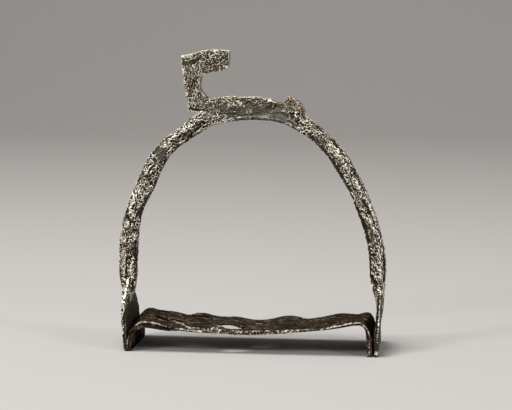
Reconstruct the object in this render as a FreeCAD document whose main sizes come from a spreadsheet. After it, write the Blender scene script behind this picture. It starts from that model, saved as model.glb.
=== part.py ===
import FreeCAD, Part

import os

import Sketcher

# A forged iron stirrup, dug up and heavily rusted.
# Two arms rise from flat foot plates and are scarfed to a crown bridge, which carries a strap loop.
# A bent tread plate is riveted between the foot plates.
# Frame: X across the stirrup, Y along the rider's foot, Z up, the origin on the floor under the middle.

doc = FreeCAD.newDocument("stirrup")

# Real sizes in millimetres
sizes = {
    "overall_width": 131.7,
    "seat_height": 116.2,
    "bar_width": 8.6,
    "bar_depth": 9.5,
    "foot_length": 39.0,
    "foot_thickness": 1.8,
    "flare_height": 34.0,
    "loop_width": 60.3,
    "loop_height": 29.7,
    "loop_thickness": 5.6,
    "tread_rise": 11.5,
    "tread_thickness": 2.5,
    "tab_thickness": 2.5,
    "tab_height": 8.5,
    "rivet_diameter": 3.6,
    "rivet_head_diameter": 6.4,
    "rivet_head_height": 0.4,
    "rivet_pitch": 20.0,
    "hole_clearance": 0.1,
}

sheet = doc.addObject("Spreadsheet::Sheet", "sizes")
for row, (alias, value) in enumerate(sizes.items(), start=1):
    name_cell = "A%d" % row
    value_cell = "B%d" % row
    sheet.set(name_cell, alias)
    sheet.set(value_cell, str(value))
    sheet.setAlias(value_cell, alias)
doc.recompute()


class Span:
    """A length written as shares of the named sizes, so that it follows them."""

    def __init__(self, terms):
        self.terms = dict(terms)

    def __add__(self, other):
        terms = dict(self.terms)
        for name, share in other.terms.items():
            terms[name] = terms.get(name, 0.0) + share
        return Span(terms)

    def __mul__(self, share):
        return Span({name: own * share for name, own in self.terms.items()})

    def __neg__(self):
        return self * -1.0

    def __sub__(self, other):
        return self + -other

    def value(self):
        return sum(share * sizes[name] for name, share in self.terms.items())

    def text(self):
        return " + ".join("(%.6f) * sizes.%s" % (share, name) for name, share in self.terms.items())


def size(name):
    return Span({name: 1.0})


NOTHING = Span({})
TINY = 1e-9

half_width = size("overall_width") * 0.5
half_foot = size("foot_length") * 0.5


def origin_plane(body, role):
    for feature in body.Origin.OriginFeatures:
        if feature.Role == role:
            return feature
    raise ValueError("no origin plane " + role)


def new_body(label):
    body = doc.addObject("PartDesign::Body", label)
    body.Label = label
    return body


def new_sketch(body, name, role):
    sketch = body.newObject("Sketcher::SketchObject", name)
    sketch.AttachmentSupport = [(origin_plane(body, role), "")]
    sketch.MapMode = "FlatFace"
    return sketch


def shift_sketch(sketch, axis, span):
    """Moves a sketch off its plane by a span, along one of the sketch's own axes."""
    if abs(span.value()) > TINY:
        sketch.setExpression("AttachmentOffset.Base." + axis, span.text())


def bind_point(sketch, element, point_end, across, up):
    """Holds one end of an element at a place given by two spans from the sketch's origin."""
    for kind, axis, span in (("DistanceX", -2, across), ("DistanceY", -1, up)):
        place = span.value()
        if abs(place) < TINY:
            sketch.addConstraint(Sketcher.Constraint("PointOnObject", element, point_end, axis))
            continue
        if place > 0:
            rule = Sketcher.Constraint(kind, -1, 1, element, point_end, place)
            text = span.text()
        else:
            rule = Sketcher.Constraint(kind, element, point_end, -1, 1, -place)
            text = (-span).text()
        number = sketch.addConstraint(rule)
        sketch.setExpression("Constraints[%d]" % number, text)


def draw_polygon(sketch, points):
    """Draws a closed outline through places that are pairs of spans."""
    corners = [FreeCAD.Vector(x.value(), y.value(), 0) for x, y in points]
    count = len(corners)
    for i in range(count):
        sketch.addGeometry(Part.LineSegment(corners[i], corners[(i + 1) % count]), False)
    for i in range(count):
        sketch.addConstraint(Sketcher.Constraint("Coincident", i, 2, (i + 1) % count, 1))
    for i, (x, y) in enumerate(points):
        bind_point(sketch, i, 1, x, y)


def draw_circle(sketch, x, y, radius):
    circle = Part.Circle(FreeCAD.Vector(x.value(), y.value(), 0), FreeCAD.Vector(0, 0, 1), radius.value())
    element = sketch.addGeometry(circle, False)
    bind_point(sketch, element, 3, x, y)
    number = sketch.addConstraint(Sketcher.Constraint("Radius", element, radius.value()))
    sketch.setExpression("Constraints[%d]" % number, radius.text())


HALF_TURN = 180.0


def section(body, name, x, z, turn_share, points):
    """A cross-section square to the bar's run.

    Its own x points from the outside of the bar to the inside and its own y along the foot.
    turn_share is how far the run has turned: none going up the left side, a half at the crown
    and one going down the right side.
    """
    sketch = new_sketch(body, name, "XY_Plane")
    turn = FreeCAD.Rotation(FreeCAD.Vector(0, 1, 0), HALF_TURN * turn_share)
    sketch.AttachmentOffset = FreeCAD.Placement(FreeCAD.Vector(x.value(), 0, z.value()), turn)
    shift_sketch(sketch, "x", x)
    shift_sketch(sketch, "z", z)
    draw_polygon(sketch, points)
    return sketch


def loft(body, name, sketches, ruled):
    feature = body.newObject("PartDesign::AdditiveLoft", name)
    feature.Profile = sketches[0]
    feature.Sections = sketches[1:]
    feature.Ruled = ruled
    feature.Closed = False
    doc.recompute()
    return feature


def pad(body, name, sketch, length, both_ways):
    feature = body.newObject("PartDesign::Pad", name)
    feature.Profile = sketch
    feature.SideType = "Symmetric" if both_ways else "One side"
    feature.setExpression("Length", length.text())
    doc.recompute()
    return feature


def pocket_through(body, name, sketch):
    """Cuts a sketch through the whole body, both ways, and makes sure that it cut something."""
    before = body.Shape.Volume
    feature = body.newObject("PartDesign::Pocket", name)
    feature.Profile = sketch
    feature.Type = "ThroughAll"
    feature.SideType = "Symmetric"
    doc.recompute()
    if not body.Shape.Volume < before:
        raise ValueError(name + " cuts nothing")
    return feature


# The foot plates' inner faces, which the tread's tabs lie against
left_seat_share = 0.904
right_seat_share = 0.918
left_seat = half_width * -left_seat_share
right_seat = half_width * right_seat_share


# The arch bar: one run of forged bar from foot plate to foot plate
# The bar's section: a flat outer face, a ridge nearer the outside on front and back, a flat inner face
outer_flat_share = 0.30
inner_flat_share = 0.27
ridge_outer_share = 0.24
ridge_inner_share = 0.10


def bar_points(width, depth):
    outer = width * -0.5
    inner = width * 0.5
    ridge_out = width * -ridge_outer_share
    ridge_in = width * -ridge_inner_share
    reach = depth * 0.5
    outer_flat = depth * outer_flat_share
    inner_flat = depth * inner_flat_share
    return [
        (outer, -outer_flat),
        (ridge_out, -reach),
        (ridge_in, -reach),
        (inner, -inner_flat),
        (inner, inner_flat),
        (ridge_in, reach),
        (ridge_out, reach),
        (outer, outer_flat),
    ]


# Each place beside the opening: x in half widths, height as a share of the rise from the shoulder to
# the loop's seat, turn, width in bar widths, depth in bar depths
left_rise_shares = [
    (-0.933, 0.067, 0.002, 1.00, 1.00),
    (-0.932, 0.145, 0.010, 1.03, 1.00),
    (-0.921, 0.244, 0.045, 1.03, 1.00),
    (-0.886, 0.389, 0.072, 0.93, 0.97),
    (-0.818, 0.519, 0.150, 1.07, 1.00),
    (-0.728, 0.675, 0.200, 1.02, 0.98),
    (-0.599, 0.803, 0.255, 0.90, 0.94),
    (-0.438, 0.898, 0.270, 0.98, 0.91),
    (-0.375, 0.935, 0.318, 1.06, 0.88),
]
right_fall_shares = [
    (0.406, 0.908, 0.710, 0.95, 0.90),
    (0.581, 0.787, 0.760, 0.97, 0.94),
    (0.693, 0.666, 0.820, 0.99, 1.00),
    (0.798, 0.507, 0.885, 0.92, 1.00),
    (0.875, 0.341, 0.915, 0.92, 1.00),
    (0.925, 0.180, 0.960, 0.93, 1.00),
    (0.937, 0.074, 0.990, 0.95, 1.00),
]
# Each place over the opening: the same, with the depth below the loop's seat in bar widths
crown_shares = [
    (-0.307, 0.30, 0.385, 1.12, 0.86),
    (-0.148, 0.19, 0.467, 0.84, 0.84),
    (0.034, 0.14, 0.500, 0.74, 0.84),
    (0.201, 0.20, 0.540, 0.88, 0.84),
    (0.323, 0.38, 0.630, 1.15, 0.86),
]
left_shoulder_share = -0.933
left_shoulder_width_share = 0.97
right_shoulder_share = 0.937
right_shoulder_width_share = 0.88

bar_width = size("bar_width")
bar_depth = size("bar_depth")
flare_height = size("flare_height")
seat_height = size("seat_height")


def left_shoulder(body, name):
    points = bar_points(bar_width * left_shoulder_width_share, bar_depth)
    return section(body, name, half_width * left_shoulder_share, flare_height, 0.0, points)


def right_shoulder(body, name):
    points = bar_points(bar_width * right_shoulder_width_share, bar_depth)
    return section(body, name, half_width * right_shoulder_share, flare_height, 1.0, points)


arch_bar = new_body("arch_bar")


def arch_run(name, places):
    """The bar's sections at places that give x, z, turn, width share and depth share."""
    sections = []
    for number, (x, z, turn_share, width_share, depth_share) in enumerate(places, start=1):
        points = bar_points(bar_width * width_share, bar_depth * depth_share)
        sections.append(section(arch_bar, "%s_section_%d" % (name, number), x, z, turn_share, points))
    return sections


def side_places(rows):
    rise = seat_height - flare_height
    return [(half_width * row[0], flare_height + rise * row[1]) + row[2:] for row in rows]


def crown_places(rows):
    return [(half_width * row[0], seat_height - bar_width * row[1]) + row[2:] for row in rows]


left_places = side_places(left_rise_shares) + crown_places(crown_shares[:1])
left_sections = [left_shoulder(arch_bar, "left_rise_shoulder")] + arch_run("left_rise", left_places)
loft(arch_bar, "left_rise", left_sections, False)
loft(arch_bar, "crown", arch_run("crown", crown_places(crown_shares)), False)
right_places = crown_places(crown_shares[-1:]) + side_places(right_fall_shares)
right_sections = arch_run("right_fall", right_places) + [right_shoulder(arch_bar, "right_fall_shoulder")]
loft(arch_bar, "right_fall", right_sections, False)

# The flares, where the bar spreads along the foot into a thin plate
# Each place: height in flare heights; x of the outer flat, the tip's outer and inner corners and the
# inner flat in half widths; the tip's reach to the front and the back, and half the length of the
# outer and inner flats, in half foot lengths
left_flare_shares = [
    (0.93, -0.992, -0.967, -0.935, -0.873, 0.29, 0.27, 0.15, 0.14),
    (0.85, -0.986, -0.966, -0.926, -0.879, 0.38, 0.33, 0.16, 0.15),
    (0.72, -0.960, -0.944, -0.918, -0.901, 0.76, 0.57, 0.23, 0.26),
    (0.59, -0.943, -0.936, -0.911, -0.908, 0.98, 0.81, 0.31, 0.41),
]
right_flare_shares = [
    (0.93, 0.992, 0.967, 0.938, 0.886, 0.31, 0.28, 0.15, 0.14),
    (0.85, 0.987, 0.966, 0.932, 0.899, 0.43, 0.36, 0.16, 0.15),
    (0.72, 0.982, 0.968, 0.943, 0.926, 0.80, 0.60, 0.23, 0.26),
    (0.59, 0.974, 0.966, 0.941, 0.937, 0.98, 0.82, 0.31, 0.41),
]
# The plate's lean above the tab: its height in flare heights, and how far its inner face stands out
# from the seat in half widths
left_lean_shares = (0.42, 0.003)
right_lean_shares = (0.42, 0.012)
flat_share = 0.5
plate_flat_height = size("tab_height") + size("foot_thickness")


def flare_points(outer, tip_outer, tip_inner, inner, front, back, outer_flat, inner_flat):
    return [
        (outer, -outer_flat),
        (tip_outer, -front),
        (tip_inner, -front),
        (inner, -inner_flat),
        (inner, inner_flat),
        (tip_inner, back),
        (tip_outer, back),
        (outer, outer_flat),
    ]


def plate_points(inner, side):
    outer = inner + size("foot_thickness") * side
    flat = half_foot * flat_share
    return flare_points(outer, outer, inner, inner, half_foot, half_foot, flat, flat)


def foot(body, prefix, top, flare_shares, lean_shares, seat, side):
    """The flare and the foot plate of one arm, down to the floor."""
    sections = [top]
    for number, row in enumerate(flare_shares, start=1):
        height_share, outer, tip_outer, tip_inner, inner, front, back, outer_flat, inner_flat = row
        points = flare_points(
            half_width * outer,
            half_width * tip_outer,
            half_width * tip_inner,
            half_width * inner,
            half_foot * front,
            half_foot * back,
            half_foot * outer_flat,
            half_foot * inner_flat,
        )
        name = "%s_flare_%d" % (prefix, number)
        sections.append(section(body, name, NOTHING, flare_height * height_share, 0.0, points))
    lean_height_share, lean_out_share = lean_shares
    lean_points = plate_points(seat + half_width * (lean_out_share * side), side)
    lean_height = flare_height * lean_height_share
    sections.append(section(body, prefix + "_plate_lean", NOTHING, lean_height, 0.0, lean_points))
    plate = plate_points(seat, side)
    sections.append(section(body, prefix + "_plate_flat", NOTHING, plate_flat_height, 0.0, plate))
    sections.append(section(body, prefix + "_plate_floor", NOTHING, NOTHING, 0.0, plate))
    return loft(body, prefix + "_foot", sections, True)


def right_flare_top(body, name):
    """The right shoulder's section drawn in the floor's own directions, for the ruled flare."""
    width = bar_width * right_shoulder_width_share
    middle = half_width * right_shoulder_share
    points = [(middle - u, v) for u, v in bar_points(width, bar_depth)]
    return section(body, name, NOTHING, flare_height, 0.0, points)


foot(arch_bar, "left", left_shoulder(arch_bar, "left_flare_top"),
     left_flare_shares, left_lean_shares, left_seat, -1.0)
foot(arch_bar, "right", right_flare_top(arch_bar, "right_flare_top"),
     right_flare_shares, right_lean_shares, right_seat, 1.0)

# The crown is dressed flat, where the strap loop sits
seat_end_share = 0.62
dressing_height_share = 0.2
crown_sketch = new_sketch(arch_bar, "crown_dressing", "XZ_Plane")
crown_top = seat_height + seat_height * dressing_height_share
draw_polygon(crown_sketch, [
    (half_width * -seat_end_share, seat_height),
    (half_width * seat_end_share, seat_height),
    (half_width * seat_end_share, crown_top),
    (half_width * -seat_end_share, crown_top),
])
pocket_through(arch_bar, "crown_flat", crown_sketch)

# The rivets' places on the foot plates and the tabs
rivet_height_share = 0.58
rivet_height = size("tab_height") * rivet_height_share
rivet_side = size("rivet_pitch") * 0.5
shank_radius = size("rivet_diameter") * 0.5
hole_radius = shank_radius + size("hole_clearance")


def rivet_holes(body, name):
    """Two holes through the body's upright plates, along X."""
    sketch = new_sketch(body, name + "_places", "YZ_Plane")
    draw_circle(sketch, -rivet_side, rivet_height, hole_radius)
    draw_circle(sketch, rivet_side, rivet_height, hole_radius)
    return pocket_through(body, name, sketch)


rivet_holes(arch_bar, "foot_holes")

# The scarf joints that part the arch bar into the two arms and the bridge
# Each place: x in half widths and z in seat heights, the upper end first
left_scarf_shares = ((-0.200, 1.110), (-0.600, 0.775))
right_scarf_shares = ((0.176, 1.110), (0.482, 0.775))
zone_side_share = 1.3
zone_middle_share = 0.1
zone_floor_share = -0.1


def zone(label, points_shares):
    """A block that covers one stretch of the arch bar, drawn from the front."""
    body = new_body(label)
    sketch = new_sketch(body, label + "_outline", "XZ_Plane")
    draw_polygon(sketch, [(half_width * x, seat_height * z) for x, z in points_shares])
    pad(body, label + "_block", sketch, size("foot_length") * zone_side_share, True)
    return body


left_top, left_bottom = left_scarf_shares
right_top, right_bottom = right_scarf_shares
zone_top_share = left_top[1]

left_zone = zone("left_zone", [
    (-zone_side_share, zone_floor_share),
    (-zone_middle_share, zone_floor_share),
    left_bottom,
    left_top,
    (-zone_side_share, zone_top_share),
])
bridge_zone = zone("bridge_zone", [left_bottom, right_bottom, right_top, left_top])
right_zone = zone("right_zone", [
    (zone_middle_share, zone_floor_share),
    (zone_side_share, zone_floor_share),
    (zone_side_share, zone_top_share),
    right_top,
    right_bottom,
])


def arch_piece(label, tool):
    piece = doc.addObject("Part::Common", label)
    piece.Label = label
    piece.Base = arch_bar
    piece.Tool = tool
    return piece


left_arm = arch_piece("left_arm", left_zone)
bridge = arch_piece("bridge", bridge_zone)
right_arm = arch_piece("right_arm", right_zone)

# The strap loop: a foot bar, the left post, what is left of the top bar, and the right post's stub
# Each place: x in loop widths from the stirrup's middle, z in loop heights above the seat
loop_shares = [
    (-0.516, 0.000), (-0.517, 0.077), (-0.529, 0.205), (-0.541, 0.337), (-0.552, 0.502),
    (-0.561, 0.630), (-0.568, 0.795), (-0.565, 0.906), (-0.511, 0.916), (-0.469, 0.933),
    (-0.430, 0.956), (-0.390, 0.983), (-0.332, 1.000), (-0.252, 0.993), (-0.182, 0.983),
    (-0.176, 0.862), (-0.181, 0.781), (-0.189, 0.700), (-0.206, 0.667), (-0.252, 0.643),
    (-0.308, 0.626), (-0.350, 0.609), (-0.391, 0.582), (-0.408, 0.552), (-0.415, 0.468),
    (-0.415, 0.370), (-0.405, 0.323), (-0.381, 0.259), (-0.358, 0.209), (-0.325, 0.195),
    (-0.295, 0.212), (-0.214, 0.236), (-0.133, 0.246), (-0.050, 0.232), (0.030, 0.232),
    (0.111, 0.209), (0.149, 0.195), (0.206, 0.148), (0.247, 0.138), (0.272, 0.172),
    (0.295, 0.253), (0.320, 0.239), (0.352, 0.199), (0.385, 0.158), (0.406, 0.111),
    (0.423, 0.047), (0.432, 0.000),
]
loop_frame = new_body("loop_frame")
loop_sketch = new_sketch(loop_frame, "loop_outline", "XZ_Plane")
loop_width = size("loop_width")
loop_height = size("loop_height")
draw_polygon(loop_sketch, [(loop_width * x, seat_height + loop_height * z) for x, z in loop_shares])
pad(loop_frame, "loop_plate", loop_sketch, size("loop_thickness"), True)

# The tread: a thin plate with its ends bent down into tabs
tread_rise = size("tread_rise")
tread_thickness = size("tread_thickness")
tab_height = size("tab_height")
tab_thickness = size("tab_thickness")

# Each place: x as a share of the way from the middle to the left bend, below zero, or to the right
# one; the top's height at the front, the middle and the back in tread rises; the thickness at the
# front, the middle and the back in tread thicknesses
tread_shares = [
    (-0.905, 1.278, 1.230, 1.180, 1.35, 0.98, 0.96),
    (-0.749, 1.122, 1.110, 1.085, 1.00, 0.96, 0.96),
    (-0.670, 1.055, 1.075, 1.020, 0.62, 0.92, 0.96),
    (-0.594, 1.020, 1.080, 1.105, 0.60, 0.90, 0.96),
    (-0.400, 1.000, 1.040, 0.990, 0.66, 0.86, 0.92),
    (-0.181, 0.995, 1.050, 0.940, 0.80, 0.84, 0.88),
    (0.025, 1.017, 1.000, 0.822, 0.92, 0.90, 0.88),
    (0.224, 1.039, 1.030, 0.992, 0.76, 0.88, 0.88),
    (0.370, 1.060, 1.055, 1.050, 0.62, 0.88, 0.88),
    (0.460, 1.087, 1.060, 0.958, 0.54, 0.86, 0.88),
    (0.658, 1.175, 1.140, 1.100, 0.50, 0.84, 0.88),
    (0.845, 1.348, 1.255, 1.168, 0.72, 0.86, 0.88),
]
# The bends turn about a line along Y at the top of the tab, in from the foot plate by a reach in
# tread thicknesses
# Each place: turn; the top's distance from that line at the front, the middle and the back, and the
# thickness at the front, the middle and the back, in tread thicknesses
left_reach_share = 3.40
left_bend_shares = [
    (0.125, 2.60, 3.16, 3.32, 1.00, 1.00, 1.00),
    (0.250, 2.30, 2.92, 3.18, 1.04, 1.00, 1.00),
    (0.375, 2.42, 2.66, 2.78, 1.24, 1.00, 0.98),
    (0.500, 2.60, 2.44, 2.30, 1.36, 0.98, 0.96),
]
right_reach_share = 2.98
right_bend_shares = [
    (0.500, 3.46, 2.60, 2.06, 0.76, 0.88, 0.88),
    (0.625, 3.34, 2.92, 2.68, 0.66, 0.88, 0.90),
    (0.750, 2.94, 2.84, 2.80, 0.70, 0.90, 0.94),
    (0.875, 2.74, 2.70, 2.62, 0.84, 0.94, 0.96),
]
left_pivot = left_seat + tread_thickness * left_reach_share
right_pivot = right_seat - tread_thickness * right_reach_share

tread = new_body("tread")


def sheet_points(tops, thicknesses):
    """A thin section: its outer line at front, middle and back, and its inner line behind it."""
    sides = (-half_foot, NOTHING, half_foot)
    outer = list(zip(tops, sides))
    inner = [(top + thick, side) for top, thick, side in zip(tops, thicknesses, sides)]
    return outer + inner[::-1]


def tab_top(name, pivot, turn_share, reach_share):
    points = sheet_points([tread_thickness * -reach_share] * 3, [tab_thickness] * 3)
    return section(tread, name, pivot, tab_height, turn_share, points)


def sheet_sections(prefix, rows, unit, place):
    """Sections whose tops are measured in a unit from a line that place gives for each row."""
    sections = []
    for number, row in enumerate(rows, start=1):
        tops = [unit * -share for share in row[1:4]]
        thicknesses = [tread_thickness * share for share in row[4:]]
        x, z, turn_share = place(row[0])
        name = "%s_%d" % (prefix, number)
        sections.append(section(tread, name, x, z, turn_share, sheet_points(tops, thicknesses)))
    return sections


def tread_place(x_share):
    way = right_pivot * x_share if x_share > 0 else left_pivot * -x_share
    return way, NOTHING, level_turn_share


level_turn_share = 0.5
tread_sections = [tab_top("left_tab_top", left_pivot, 0.0, left_reach_share)]
tread_sections += sheet_sections(
    "left_bend", left_bend_shares, tread_thickness, lambda turn: (left_pivot, tab_height, turn))
tread_sections += sheet_sections("tread_section", tread_shares, tread_rise, tread_place)
tread_sections += sheet_sections(
    "right_bend", right_bend_shares, tread_thickness, lambda turn: (right_pivot, tab_height, turn))
tread_sections.append(tab_top("right_tab_top", right_pivot, 1.0, right_reach_share))
loft(tread, "tread_plate", tread_sections, False)


def tab(name, start):
    """A flat tab, from the floor to the bend, lying against a foot plate."""
    sketch = new_sketch(tread, name + "_outline", "YZ_Plane")
    shift_sketch(sketch, "z", start)
    draw_polygon(sketch, [
        (-half_foot, NOTHING),
        (half_foot, NOTHING),
        (half_foot, tab_height),
        (-half_foot, tab_height),
    ])
    return pad(tread, name, sketch, tab_thickness, False)


tab("left_tab", left_seat)
tab("right_tab", right_seat - tab_thickness)
rivet_holes(tread, "tab_holes")

# The tear behind the tread's front rim: x in half widths, y in half foot lengths
tear_shares = [
    (-0.235, -0.86),
    (-0.200, -0.80),
    (-0.045, -0.74),
    (-0.030, -0.66),
    (-0.120, -0.60),
    (-0.215, -0.68),
]
tear_sketch = new_sketch(tread, "tear_outline", "XY_Plane")
draw_polygon(tear_sketch, [(half_width * x, half_foot * y) for x, y in tear_shares])
pocket_through(tread, "tear", tear_sketch)

# The rivets: a shank through foot plate and tab, with a low hammered head at each end
# Each place on a head: its height in head heights and its radius in half head diameters
head_shares = [(1.00, 0.00), (0.97, 0.32), (0.78, 0.68), (0.42, 0.92), (0.00, 1.00)]
head_height = size("rivet_head_height")
head_radius = size("rivet_head_diameter") * 0.5
FULL_TURN = 360.0


def rivet(label, seat, y, turned):
    """One rivet along X, its own x pointing from the foot plate into the tab."""
    body = new_body(label)
    sketch = new_sketch(body, label + "_profile", "XZ_Plane")
    plate_face = -size("foot_thickness")
    plate_head = [(plate_face - head_height * up, head_radius * out) for up, out in head_shares]
    tab_head = [(tab_thickness + head_height * up, head_radius * out) for up, out in head_shares]
    shank = [(plate_face, shank_radius), (tab_thickness, shank_radius)]
    profile = plate_head + shank + tab_head[::-1]
    draw_polygon(sketch, profile)
    turned_shape = body.newObject("PartDesign::Revolution", label + "_turning")
    turned_shape.Profile = sketch
    turned_shape.ReferenceAxis = (sketch, ["H_Axis"])
    turned_shape.Angle = FULL_TURN
    doc.recompute()
    turn = HALF_TURN if turned else 0.0
    rotation = FreeCAD.Rotation(FreeCAD.Vector(0, 0, 1), turn)
    place = FreeCAD.Vector(seat.value(), y.value(), rivet_height.value())
    body.Placement = FreeCAD.Placement(place, rotation)
    body.setExpression("Placement.Base.x", seat.text())
    body.setExpression("Placement.Base.y", y.text())
    body.setExpression("Placement.Base.z", rivet_height.text())
    return body


left_front_rivet = rivet("left_front_rivet", left_seat, -rivet_side, False)
left_rear_rivet = rivet("left_rear_rivet", left_seat, rivet_side, False)
right_front_rivet = rivet("right_front_rivet", right_seat, -rivet_side, True)
right_rear_rivet = rivet("right_rear_rivet", right_seat, rivet_side, True)

doc.recompute()

for item in doc.Objects:
    if "Invalid" in item.State or "Error" in item.State:
        raise ValueError("%s failed: %s" % (item.Label, item.State))

nodes = [
    left_arm,
    right_arm,
    bridge,
    loop_frame,
    tread,
    left_front_rivet,
    left_rear_rivet,
    right_front_rivet,
    right_rear_rivet,
]
for node in nodes:
    if node.Shape.isNull() or not node.Shape.isValid():
        raise ValueError(node.Label + " has no valid shape")
    if len(node.Shape.Solids) != 1:
        raise ValueError("%s has %d solids" % (node.Label, len(node.Shape.Solids)))

os.makedirs("parts", exist_ok=True)
for node in nodes:
    node.Shape.exportStep("parts/%s.step" % node.Label)
    box = node.Shape.BoundBox
    print("%-18s volume %9.1f  x %7.2f %7.2f  y %7.2f %7.2f  z %7.2f %7.2f" % (
        node.Label, node.Shape.Volume, box.XMin, box.XMax, box.YMin, box.YMax, box.ZMin, box.ZMax))
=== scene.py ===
import math

import bpy
import numpy as np
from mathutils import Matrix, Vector, noise


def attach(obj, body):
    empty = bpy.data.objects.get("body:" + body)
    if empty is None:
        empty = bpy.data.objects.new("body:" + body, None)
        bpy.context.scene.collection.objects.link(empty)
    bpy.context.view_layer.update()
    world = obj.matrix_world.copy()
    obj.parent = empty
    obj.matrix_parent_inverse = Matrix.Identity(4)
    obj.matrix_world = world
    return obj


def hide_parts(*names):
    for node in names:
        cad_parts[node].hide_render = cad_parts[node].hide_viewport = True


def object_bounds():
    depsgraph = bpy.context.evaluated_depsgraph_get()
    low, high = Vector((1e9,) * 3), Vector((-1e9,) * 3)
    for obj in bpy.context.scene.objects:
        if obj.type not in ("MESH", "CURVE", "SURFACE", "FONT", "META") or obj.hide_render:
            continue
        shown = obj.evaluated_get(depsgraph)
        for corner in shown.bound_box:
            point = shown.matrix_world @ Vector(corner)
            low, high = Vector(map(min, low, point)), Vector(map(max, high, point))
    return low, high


# An excavated iron stirrup, pitted and flaking, on a pale studio floor.
# The stirrup's lengths are in millimetres here, and become metres where they are written to a mesh.
# Those of the floor, the lights and the camera are in metres.

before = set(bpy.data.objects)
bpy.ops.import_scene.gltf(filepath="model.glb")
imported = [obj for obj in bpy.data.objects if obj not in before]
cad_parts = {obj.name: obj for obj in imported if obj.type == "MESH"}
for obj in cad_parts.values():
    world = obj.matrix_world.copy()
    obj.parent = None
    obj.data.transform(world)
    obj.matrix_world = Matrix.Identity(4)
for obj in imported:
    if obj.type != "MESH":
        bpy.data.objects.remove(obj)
cad_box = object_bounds()

MM = 0.001


# Noise and masks over points in millimetres

# How far the noise of one seed lies from that of the next, and how its finer octaves follow the first
SEED_STEP = 31.7
LACUNARITY = 2.0
ROUGHNESS = 1.0


def field(points, stretch, seed, octaves=1):
    """Smooth noise from about -1 to 1, with lumps as long as stretch gives along each axis."""
    places = points / np.array(stretch) + SEED_STEP * seed
    return np.array([noise.fractal(place, ROUGHNESS, LACUNARITY, octaves) for place in places.tolist()])


CREST_SHARPNESS = 6.5


def ridges(points, stretch, seed):
    """Thin crests at 1 with broad hollows between them at 0."""
    return np.clip(1.0 - CREST_SHARPNESS * np.abs(field(points, stretch, seed)), 0.0, 1.0)


def smooth_step(low, high, value):
    """0 up to low and 1 from high on, with a smooth rise between them."""
    share = np.clip((value - low) / (high - low), 0.0, 1.0)
    return share * share * (3.0 - 2.0 * share)


def distance_to_line(points, line):
    """How far points in a plane are from a line through places in that plane."""
    nearest = np.full(len(points), np.inf)
    for start, end in zip(line, line[1:]):
        origin = np.array(start, float)
        run = np.array(end, float) - origin
        share = np.clip((points - origin) @ run / (run @ run), 0.0, 1.0)
        nearest = np.minimum(nearest, np.linalg.norm(points - origin - share[:, None] * run, axis=1))
    return nearest


# The way the bar runs: up the left arm, over the crown and down the right arm
ARCH_CENTRE = (0.0, 48.0)
ARCH_RADIUS = 62.0


def run_places(points):
    """Points as distance along the bar's run, distance out from the opening, and y."""
    x = points[:, 0] - ARCH_CENTRE[0]
    z = points[:, 2] - ARCH_CENTRE[1]
    turn = np.arctan2(x, np.maximum(z, 0.0))
    along = turn * ARCH_RADIUS - np.sign(x) * np.minimum(z, 0.0)
    out = np.hypot(x, np.maximum(z, 0.0))
    return np.stack([along, out, points[:, 1]], axis=1)


def turned(points, degrees):
    """Run places with their first axis turned towards the bar's faces, so that streaks lie slantwise."""
    angle = math.radians(degrees)
    across = points[:, 1] + points[:, 2]
    along = points[:, 0] * math.cos(angle) + across * math.sin(angle)
    slant = across * math.cos(angle) - points[:, 0] * math.sin(angle)
    return np.stack([along, slant, points[:, 1] - points[:, 2]], axis=1)


# Meshes

def read(items, name, width):
    """A property of many items at once, with width numbers to each."""
    values = np.empty(len(items) * width, np.float32)
    items.foreach_get(name, values)
    return values.reshape(-1, width).astype(float)


def place_vertices(mesh, points):
    """Moves a mesh's points to places in millimetres."""
    mesh.vertices.foreach_set("co", (points * MM).astype(np.float32).ravel())
    mesh.update()


# Smoothing rounds that take the CAD edges off, and how far each goes
ROUNDING = 3
ROUNDING_FACTOR = 0.5


def dense_copy(node, name, voxel, sink):
    """A closed, evenly dense copy of a CAD node, with its edges rounded.

    sink first pushes its contact faces into the piece that they are welded to.
    """
    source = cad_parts[node]
    piece = bpy.data.objects.new(name, source.data.copy())
    bpy.context.scene.collection.objects.link(piece)
    place_vertices(piece.data, sink(read(piece.data.vertices, "co", 3) / MM))
    remesh = piece.modifiers.new("remesh", "REMESH")
    remesh.mode = "VOXEL"
    remesh.voxel_size = voxel * MM
    relax = piece.modifiers.new("relax", "SMOOTH")
    relax.factor = ROUNDING_FACTOR
    relax.iterations = ROUNDING
    graph = bpy.context.evaluated_depsgraph_get()
    mesh = bpy.data.meshes.new_from_object(piece.evaluated_get(graph))
    piece.modifiers.clear()
    piece.data = mesh
    mesh.name = name
    mesh.materials.clear()
    mesh.shade_smooth()
    return piece


def write_mark(mesh, name, values):
    """Keeps a number, or a place, for each point of a mesh."""
    place = values.ndim > 1
    mark = mesh.attributes.new(name, "FLOAT_VECTOR" if place else "FLOAT", "POINT")
    mark.data.foreach_set("vector" if place else "value", values.astype(np.float32).ravel())


def averaged(points, edges, rounds):
    """Points drawn towards the mean of their neighbours, again and again."""
    first, second = edges[:, 0], edges[:, 1]
    count = len(points)
    shared = np.bincount(first, minlength=count) + np.bincount(second, minlength=count)
    for _ in range(rounds):
        total = np.stack([
            np.bincount(first, points[second, axis], count) + np.bincount(second, points[first, axis], count)
            for axis in range(3)
        ], axis=1)
        points = 0.5 * points + 0.5 * total / shared[:, None]
    return points


# Rounds of averaging that show whole edges and hollows
EDGE_ROUNDS = 70
# How bright a level point is, and how much brighter one that stands out of the pits by their usual
# spread, or out of the whole shape by a millimetre: crests are worn bare metal with painted glints,
# edges get painted highlights along with their wear, and hollows get painted shade
MIDDLE_SHINE = 0.385
CREST_WEAR_AND_GLINT = 0.38
EDGE_WEAR_AND_PAINTED_LIGHT = 0.20
MOST_STANDING = 2.5


def standing(offset):
    """How far points stand out, in shares of their usual spread."""
    return np.clip((offset - offset.mean()) / offset.std(), -MOST_STANDING, MOST_STANDING)


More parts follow.
